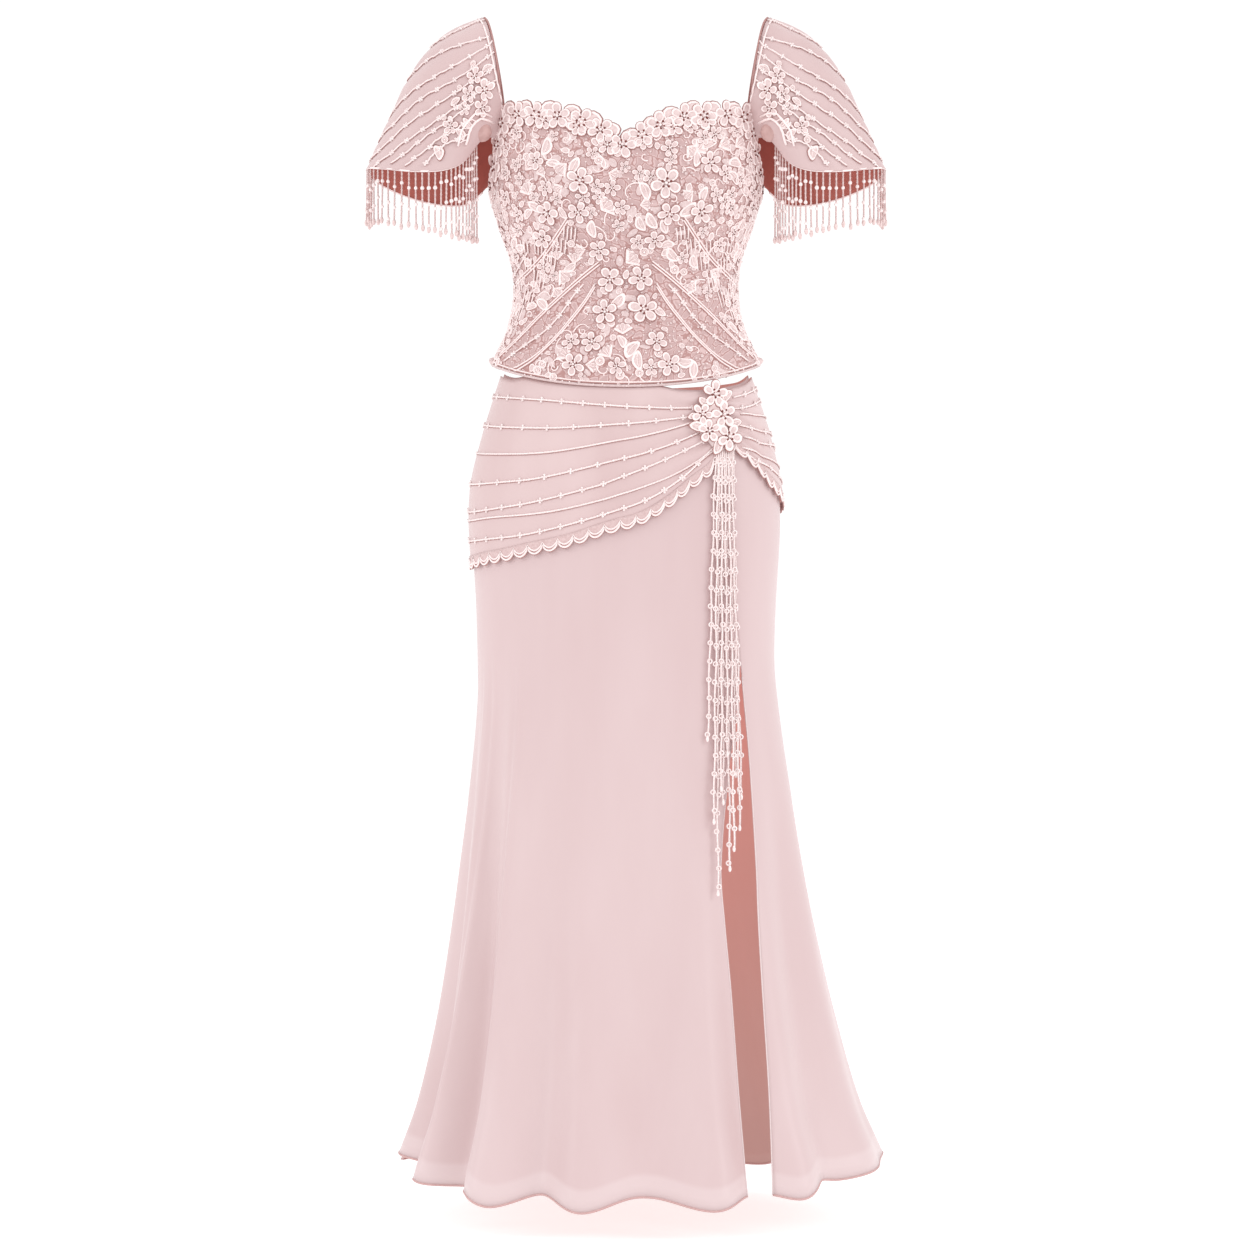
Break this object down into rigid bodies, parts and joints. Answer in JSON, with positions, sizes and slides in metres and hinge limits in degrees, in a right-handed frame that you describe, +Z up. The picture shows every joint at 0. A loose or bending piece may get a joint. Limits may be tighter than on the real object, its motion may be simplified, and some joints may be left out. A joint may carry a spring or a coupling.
{
  "type": "beaded top and long skirt set",
  "caption": "Beaded sweetheart-neck top with open bell sleeves and fringes, worn with a long flared skirt with a slit, a draped hip sash, a flower brooch and a long bead tassel.",
  "frame": {"origin": "the middle of the wearer's waist, where the skirt's upper edge and the top's hem meet: the mount wearer_waist", "axes": "+Z up, the front faces -Y, +X is the wearer's left, which is on the right as the set is seen from the front"},
  "size_m": [0.626, 0.4837, 1.4091],
  "materials": {
    "bodice_lace": "pale pink corded lace over satin",
    "sleeve_cloth": "pale pink crepe, soft sheen",
    "skirt_satin": "pale pink satin-backed crepe, soft sheen",
    "sash_satin": "pale pink satin-backed crepe, soft sheen",
    "trim_lace": "corded lace edging",
    "flower_cloth": "stiffened cloth flowers",
    "bead": "pearly beads"
  },
  "bodies": {
    "root": {"top_front": "bodice_lace", "top_back_left": "bodice_lace", "top_back_right": "bodice_lace", "sleeve_right": "sleeve_cloth", "sleeve_left": "sleeve_cloth", "fringe_right": "bead", "fringe_left": "bead", "skirt_front": "skirt_satin", "skirt_front_side": "skirt_satin", "skirt_back_left": "skirt_satin", "skirt_back_right": "skirt_satin", "sash_front_right": "sash_satin", "sash_front_left": "sash_satin", "sash_back_left": "sash_satin", "sash_back_right": "sash_satin", "trim_front_right": "trim_lace", "trim_front_left": "trim_lace", "trim_back_left": "trim_lace", "trim_back_right": "trim_lace", "brooch": "flower_cloth", "tassel": "bead"}
  },
  "joints": []
}
